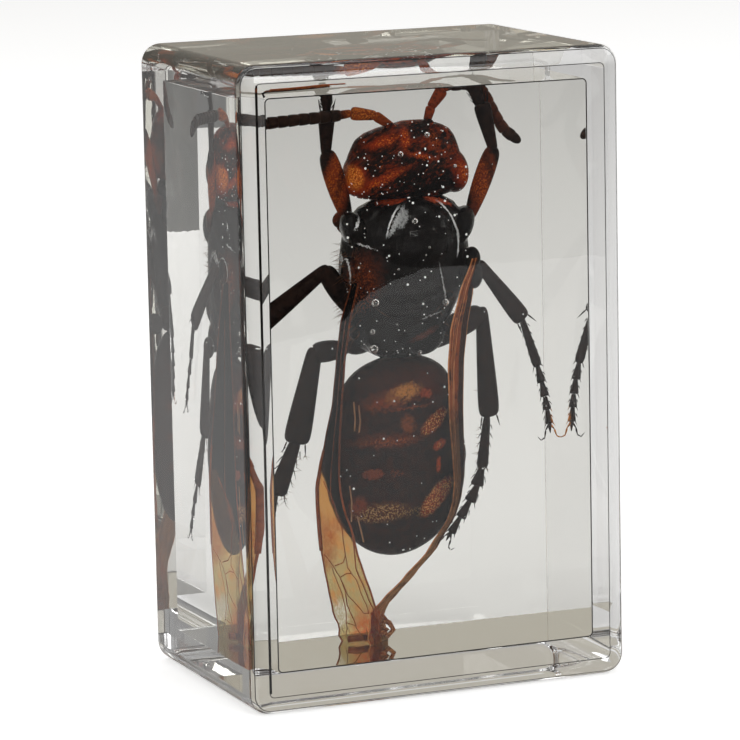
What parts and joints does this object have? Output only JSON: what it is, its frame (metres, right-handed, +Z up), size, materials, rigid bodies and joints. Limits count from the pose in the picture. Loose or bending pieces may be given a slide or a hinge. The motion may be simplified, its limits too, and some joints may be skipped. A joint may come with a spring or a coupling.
{
  "type": "insect specimen in resin block",
  "caption": "Upright clear resin block with rounded corners and a hornet specimen sealed inside, its back to the broad front face.",
  "frame": {"origin": "middle of the underside that the block stands on", "axes": "+Z up along the block's height, -Y out of the broad front face that shows the insect's back, +X to the right as seen from the front"},
  "size_m": [0.0444, 0.0306, 0.07],
  "materials": {
    "clear_resin": "clear polished casting resin with a faint warm tint in its inner casting",
    "insect_body": "dried insect shell, glossy black and red-brown with orange-brown mottled bands"
  },
  "bodies": {
    "root": {"resin_front_half": "clear_resin", "resin_back_half": "clear_resin", "inner_front_half": "clear_resin", "inner_back_half": "clear_resin", "hornet": "insect_body"}
  },
  "joints": []
}
